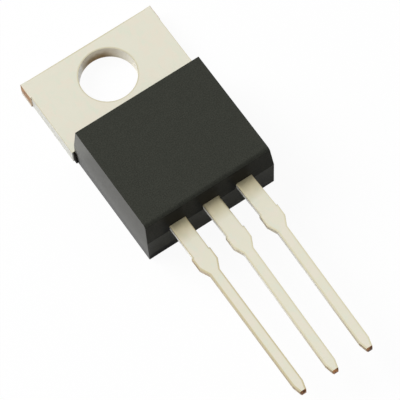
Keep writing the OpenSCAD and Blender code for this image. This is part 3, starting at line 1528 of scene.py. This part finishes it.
@dataclass(frozen=True)
class BondWire:
    """Wire from the chip to a post: an arch with a flattened foot at each end."""

    name: str
    start: Vector
    end: Vector
    diameter: float
    rise: float = 0.80
    foot_l: float = 2.2
    foot_w: float = 1.4
    foot_h: float = 0.8
    smooth_to: float = 50.0

    @staticmethod
    def draw(tree: Tree, size: Any) -> Socket:
        """Sweeps the wire and presses its feet.

        Args:
            tree: the tree to add to.
            size: the outputs of the tree's inputs.

        Returns:
            The wire's mesh.
        """
        radius = tree.math("MULTIPLY", size["Diameter"], 0.5)
        lifted = tree.combine(0.0, 0.0, radius)
        arc = tree.node("GeometryNodeCurveArc", {
            "Resolution": ARCH_STEPS, "Start": tree.vector("ADD", size["Start"], lifted),
            "Middle": size["Crest"], "End": tree.vector("ADD", size["End"], lifted),
        }, mode="POINTS").outputs[0]
        profile = tree.node("GeometryNodeCurvePrimitiveCircle", {
            "Resolution": ROUND_STEPS, "Radius": radius,
        }).outputs[0]
        wire = BondWire.swept(tree, arc, profile)
        feet = (BondWire.foot(tree, size, size[end]) for end in ("Start", "End"))
        return joined_geometry(tree, wire, *feet)

    @staticmethod
    def swept(tree: Tree, path: Socket, profile: Socket) -> Socket:
        """Adds a Curve to Mesh node with closed ends."""
        inputs = {"Curve": path, "Profile Curve": profile, "Fill Caps": True}
        return tree.node("GeometryNodeCurveToMesh", inputs).outputs[0]

    @staticmethod
    def foot(tree: Tree, size: Any, spot: Socket) -> Socket:
        """Presses one foot: a short bar with rounded long edges.

        Args:
            tree: the tree to add to.
            size: the outputs of the tree's inputs.
            spot: the bonding spot.

        Returns:
            The foot's mesh.
        """
        height = size["Foot Height"]
        lift = tree.combine(0.0, 0.0, tree.math("MULTIPLY", height, 0.5))
        middle = tree.vector("ADD", spot, lift)
        half = tree.math("MULTIPLY", size["Foot Length"], 0.5)
        reach = tree.vector("MULTIPLY", size["Heading"], tree.combine(half, half, half))
        start, end = (tree.vector(way, middle, reach) for way in ("SUBTRACT", "ADD"))
        line = tree.node("GeometryNodeCurvePrimitiveLine", {"Start": start, "End": end}).outputs[0]
        shape = tree.node("GeometryNodeCurvePrimitiveQuadrilateral", {
            "Width": size["Foot Width"], "Height": height,
        }).outputs[0]
        soft = tree.node("GeometryNodeFilletCurve", {
            "Curve": shape, "Count": FOOT_STEPS,
            "Radius": tree.math("MULTIPLY", height, FOOT_ROUNDING),
        }, mode="POLY").outputs[0]
        return BondWire.swept(tree, line, soft)

    def build(self) -> bpy.types.Object:
        """Builds the wire.

        Returns:
            The wire as a solid in millimetres.
        """
        run = self.end - self.start
        heading = Vector((run.x, run.y, 0.0)).normalized()
        upward = run.cross(heading.cross(Vector((0.0, 0.0, 1.0)))).normalized()
        upward = upward if upward.z > 0 else -upward
        lift = Vector((0.0, 0.0, self.diameter / 2))
        return drawn(f"{self.name}_wire", "bond_wire", self.draw, {
            "Start": self.start, "End": self.end, "Heading": heading,
            "Crest": (self.start + self.end) / 2 + lift + self.rise * upward,
            "Diameter": self.diameter, "Foot Length": self.foot_l * self.diameter,
            "Foot Width": self.foot_w * self.diameter, "Foot Height": self.foot_h * self.diameter,
            "Finish": ALUMINIUM.material(),
        })

    def dress(self, wire: bpy.types.Object) -> None:
        """Dresses the wire."""
        finish_piece(wire, f"{self.name}_bond_wire", ALUMINIUM, self.smooth_to)


# Moulding

@dataclass(frozen=True)
class Moulding:
    """Epoxy block around the strip, the leads, the chip and the wires."""

    layout: Layout
    tab_end_draft: float = 6.6
    lead_end_draft: float = 7.0
    side_draft: float = 3.6
    lower_draft: float = 0.8
    soft_r: float = 0.26
    soft_reach: float = 1.0
    edge_r: float = 0.03
    seam_t: float = 0.012
    seam_out: float = 0.004
    seam_root: float = 0.3
    ear_l: float = 0.28
    ear_half_w: float = 5.00
    ear_r: float = 0.05
    ear_slack: float = 0.02
    wall_reach: float = 0.2
    wall_above: float = 0.7
    end_below: float = -0.95

    def section(self, z: float) -> list[Point]:
        """Gives the block's four corners at a height.

        Args:
            z: the height.

        Returns:
            The corners in X and Y, counter-clockwise.
        """
        at = self.layout
        below = max(at.lead_z - z, 0.0) * tan(radians(self.lower_draft))
        above_seam = max(z - at.lead_z, 0.0)
        half = at.parting_half_w - below - above_seam * tan(radians(self.side_draft))
        near = at.lead_end_y + below + above_seam * tan(radians(self.lead_end_draft))
        far = at.mould_y - max(z - at.tab_t, 0.0) * tan(radians(self.tab_end_draft))
        return [(-half, near), (half, near), (half, far), (-half, far)]

    def block(self) -> bpy.types.Object:
        """Builds the drafted block: well rounded over the leads, crisp elsewhere.

        Returns:
            The block.
        """
        at = self.layout
        levels = (0.0, at.tab_t, at.lead_z, at.mould_top)
        bm = bmesh.new()
        rings = [[bm.verts.new((x, y, z)) for x, y in self.section(z)] for z in levels]
        bm.faces.new(list(reversed(rings[0])))
        bm.faces.new(rings[-1])
        for lower, upper in zip(rings, rings[1:]):
            for i in range(4):
                j = (i + 1) % 4
                bm.faces.new((lower[i], lower[j], upper[j], upper[i]))
        bmesh.ops.recalc_face_normals(bm, faces=bm.faces)
        over_leads = both(
            lambda p: p.z > at.mould_top - TOUCH_MM and p.y < at.lead_end_y + self.soft_reach
        )
        round_edges(bm, over_leads, self.soft_r, segments=6)
        round_edges(bm, lambda a, b: max(a.z, b.z) > TOUCH_MM, self.edge_r)
        return solid("moulding", bm)

    def seam(self) -> bpy.types.Object:
        """Builds the fine flash line of the two halves of the mould along the leads' end face.

        Returns:
            The flash line as a solid that reaches into the block.
        """
        at, half_t = self.layout, self.seam_t / 2
        corners = self.section(at.lead_z)
        half = corners[2][0] - 2 * self.edge_r
        low = (-half, corners[0][1] - self.seam_out, at.lead_z - half_t)
        return solid("seam", slab(low, (half, corners[0][1] + self.seam_root, at.lead_z + half_t)))

    def ears(self) -> bpy.types.Object:
        """Builds the small ears that close the corner beside the tab.

        Returns:
            The ears as one solid across the block.
        """
        at, half = self.layout, self.ear_half_w
        bm = slab((-half, at.mould_y - self.ear_l, 0.0), (half, at.mould_y, at.tab_t))
        round_edges(bm, both(lambda p: p.y < at.mould_y - SLACK_MM), self.ear_r)
        return solid("ears", bm)

    def build(self, inside: Sequence[tuple[bpy.types.Object, Sequence[float]]]) -> bpy.types.Object:
        """Builds the moulding with a true cavity around everything inside it.

        Args:
            inside: each solid that the epoxy surrounds, with the heights that it rests at.

        Returns:
            The moulding as a solid in millimetres.
        """
        block = self.block()
        combine(block, self.seam())
        combine(block, self.ears())
        for piece, seats in inside:
            combine(block, sunk_copy(piece, seats), Cut.TAKE_OUT)
        return block

    def paint(self, centre: Vector, normal: Vector) -> Finish:
        """Picks the finish of one face.

        Args:
            centre: centre of the face.
            normal: its normal.

        Returns:
            Matte resin, or that of a side wall or of the lead end, or near-black painted shade on
            the ears.
        """
        at, aside = self.layout, abs(centre.x) - self.layout.parting_half_w
        by_tab = centre.y > at.mould_y - self.ear_l - self.ear_slack
        if by_tab and aside > -self.ear_slack and centre.z < at.tab_t + SLACK_MM:
            # The ears get near-black painted shade.
            return EPOXY_EAR_SHADE
        if abs(normal.x) > self.wall_above and aside > -self.wall_reach:
            return EPOXY_SIDE
        if normal.y < self.end_below and centre.y < at.lead_end_y + self.seam_root:
            return EPOXY_SLOPE if centre.z > at.lead_z else EPOXY_FOOT
        return EPOXY

    def dress(self, block: bpy.types.Object) -> None:
        """Dresses the moulding."""
        finish_piece(block, "moulded_body", self.paint)


@dataclass
class PowerTransistor:
    """The whole part, built from the inside out."""

    layout: Layout
    middle_blank: LeadBlank = LeadBlank(bar_drift=0.07, tip_drift=-0.11)
    blanks: dict[Side, LeadBlank] = field(default_factory=lambda: {
        Side.BASE: LeadBlank(), Side.EMITTER: LeadBlank(bar_drift=0.13, tip_drift=-0.06),
    })
    wire_d: dict[Side, float] = field(default_factory=lambda: {Side.BASE: 0.20, Side.EMITTER: 0.38})
    bond_inset: float = 0.80

    def build(self) -> None:
        """Builds, dresses and reports every piece."""
        at, die = self.layout, Extent.of("silicon_die")
        strip = StampedStrip(at, self.middle_blank)
        leads = [OuterLead(side, at, blank) for side, blank in self.blanks.items()]
        wires = [self.wire(lead) for lead in leads]
        chip, moulding = Chip(), Moulding(at)
        strip_solid = strip.build()
        lead_solids = [lead.build() for lead in leads]
        solder_solid, die_solid = chip.solder(), chip.build()
        wire_solids = [wire.build() for wire in wires]
        inside = [(strip_solid, (0.0,)), *((piece, ()) for piece in lead_solids)]
        inside += [(solder_solid, (at.tab_t,)), (die_solid, (die.low.z,))]
        inside += [(piece, (die.high.z, at.lead_top)) for piece in wire_solids]
        moulding.dress(moulding.build(inside))
        strip.dress(strip_solid)
        for lead, piece in zip(leads, lead_solids):
            lead.dress(piece)
        chip.dress(die_solid, solder_solid)
        for wire, piece in zip(wires, wire_solids):
            wire.dress(piece)

    def wire(self, lead: OuterLead) -> BondWire:
        """Describes the wire that serves one outer lead.

        Args:
            lead: the outer lead.

        Returns:
            The wire.
        """
        die = Extent.of("silicon_die")
        x = lead.side.value * (die.high.x - self.bond_inset)
        start = Vector((x, die.low.y + self.bond_inset, die.high.z))
        return BondWire(lead.side.name.lower(), start, lead.spot, self.wire_d[lead.side])


# Studio

def seen_from(azimuth: float, elevation: float) -> Vector:
    """Gives the direction outward to an azimuth and an elevation in degrees."""
    a, e = radians(azimuth), radians(elevation)
    return Vector((sin(a) * cos(e), -cos(a) * cos(e), sin(e)))


@dataclass(frozen=True)
class SoftBox:
    """A square area lamp aimed at the part."""

    name: str
    azimuth: float
    elevation: float
    level: float
    distance: float = 0.40
    size: float = 0.30

    def build(self, aim: Vector) -> None:
        """Hangs the lamp.

        Args:
            aim: the point that it faces, in metres.
        """
        lamp = bpy.data.lights.new(self.name, "AREA")
        lamp.shape = "SQUARE"
        lamp.size = self.size
        lamp.energy = self.level * (pi * self.distance) ** 2
        holder = bpy.data.objects.new(self.name, lamp)
        outward = seen_from(self.azimuth, self.elevation)
        holder.location = aim + outward * self.distance
        holder.rotation_euler = (-outward).to_track_quat("-Z", "Y").to_euler()
        holder.visible_glossy = False
        bpy.context.scene.collection.objects.link(holder)
        log.info("lamp %s at azimuth %.0f, elevation %.0f", self.name, self.azimuth, self.elevation)


@dataclass(frozen=True)
class CameraStand:
    """Camera at the photograph's viewing angle, found by matching the part's corners."""

    aim_mm: tuple[float, float, float] = (-0.187, -11.129, 1.5)
    azimuth: float = -29.018
    elevation: float = 65.227
    roll: float = -5.530
    distance_mm: float = 191.98
    lens: float = 267.99
    sensor_w: float = 36.0
    clip: Band = (0.01, 10.0)

    def build(self) -> None:
        """Sets the camera up and makes it the scene's own."""
        a, r = radians(self.azimuth), radians(self.roll)
        back = seen_from(self.azimuth, self.elevation)
        level = Vector((cos(a), sin(a), 0.0))
        rising = back.cross(level)
        right = level * cos(r) + rising * sin(r)
        up = rising * cos(r) - level * sin(r)
        data = bpy.data.cameras.new("camera")
        data.lens = self.lens
        data.sensor_width = self.sensor_w
        data.clip_start, data.clip_end = self.clip
        camera = bpy.data.objects.new("camera", data)
        place = (Vector(self.aim_mm) + back * self.distance_mm) * MM
        turn = Matrix((right, up, back)).transposed().to_4x4()
        camera.matrix_world = Matrix.Translation(place) @ turn
        bpy.context.scene.collection.objects.link(camera)
        bpy.context.scene.camera = camera


@dataclass(frozen=True)
class Studio:
    """Pale floor, white surroundings and soft lamps."""

    floor_colour: Colour = (0.94, 0.94, 0.94)
    white: Colour = (1.0, 1.0, 1.0)
    floor_reach: float = 3.0
    ambient: float = 0.25
    white_to_eye: float = 0.94
    white_in_gloss: float = 0.15
    lamp_aim: tuple[float, float, float] = (0.0, -0.008, 0.0)
    lamps: tuple[SoftBox, ...] = (
        SoftBox("key", azimuth=-140.0, elevation=40.0, level=1.22),
        SoftBox("fill", azimuth=75.0, elevation=55.0, level=0.10),
    )

    def floor(self) -> None:
        """Lays the floor under the part."""
        bm = bmesh.new()
        reach = self.floor_reach
        corners = ((-reach, -reach), (reach, -reach), (reach, reach), (-reach, reach))
        bm.faces.new([bm.verts.new((x, y, 0.0)) for x, y in corners])
        floor = solid("floor", bm)
        floor.data.materials.append(self.floor_paint())

    def floor_paint(self) -> bpy.types.Material:
        """Makes the floor's material: matte, and whitened to the eye and in reflections.

        Returns:
            The material.
        """
        paint = bpy.data.materials.new("pale_floor")
        paint.use_nodes = True
        paint.node_tree.nodes.clear()
        tree = Tree(paint.node_tree)
        matte = tree.node("ShaderNodeBsdfDiffuse", {"Color": (*self.floor_colour, 1.0)})
        white = tree.node("ShaderNodeEmission", {"Color": (*self.white, 1.0), "Strength": 1.0})
        share = self.seen_share(tree, self.white_to_eye, self.white_in_gloss)
        mixed = tree.node("ShaderNodeMixShader", {
            0: share, 1: matte.outputs[0], 2: white.outputs[0],
        })
        tree.node("ShaderNodeOutputMaterial", {"Surface": mixed.outputs[0]})
        return paint

    @staticmethod
    def seen_share(tree: Tree, to_eye: float, in_gloss: float) -> Socket:
        """Gives one share for rays from the eye, one for reflections and 0 for light.

        Args:
            tree: the tree to add to.
            to_eye: share for rays from the eye.
            in_gloss: share for reflections and for rays through glass.

        Returns:
            The share.
        """
        path = tree.node("ShaderNodeLightPath").outputs
        bent = tree.math("MAXIMUM", path["Is Glossy Ray"], path["Is Transmission Ray"])
        bent = tree.math("MULTIPLY", bent, in_gloss)
        return tree.math("MAXIMUM", tree.math("MULTIPLY", path["Is Camera Ray"], to_eye), bent)

    def surroundings(self) -> None:
        """Sets the world: white to the eye and in reflections, softer as a light."""
        world = bpy.data.worlds.new("surroundings")
        world.use_nodes = True
        world.node_tree.nodes.clear()
        tree = Tree(world.node_tree)
        seen = self.seen_share(tree, 1.0, 1.0)
        strength = tree.math("MULTIPLY_ADD", seen, 1.0 - self.ambient, self.ambient)
        light = tree.node("ShaderNodeBackground", {
            "Color": (*self.white, 1.0), "Strength": strength,
        })
        tree.node("ShaderNodeOutputWorld", {"Surface": light.outputs[0]})
        bpy.context.scene.world = world

    def build(self) -> None:
        """Builds the floor, the surroundings and the lamps."""
        self.floor()
        self.surroundings()
        for lamp in self.lamps:
            lamp.build(Vector(self.lamp_aim))
        bpy.context.scene.view_settings.view_transform = "Standard"


def main() -> None:
    """Builds the studio and the part."""
    logging.basicConfig(level=logging.INFO, format="%(name)s: %(message)s")
    CameraStand().build()
    Studio().build()
    PowerTransistor(LAYOUT).build()


if __name__ == "__main__":
    main()
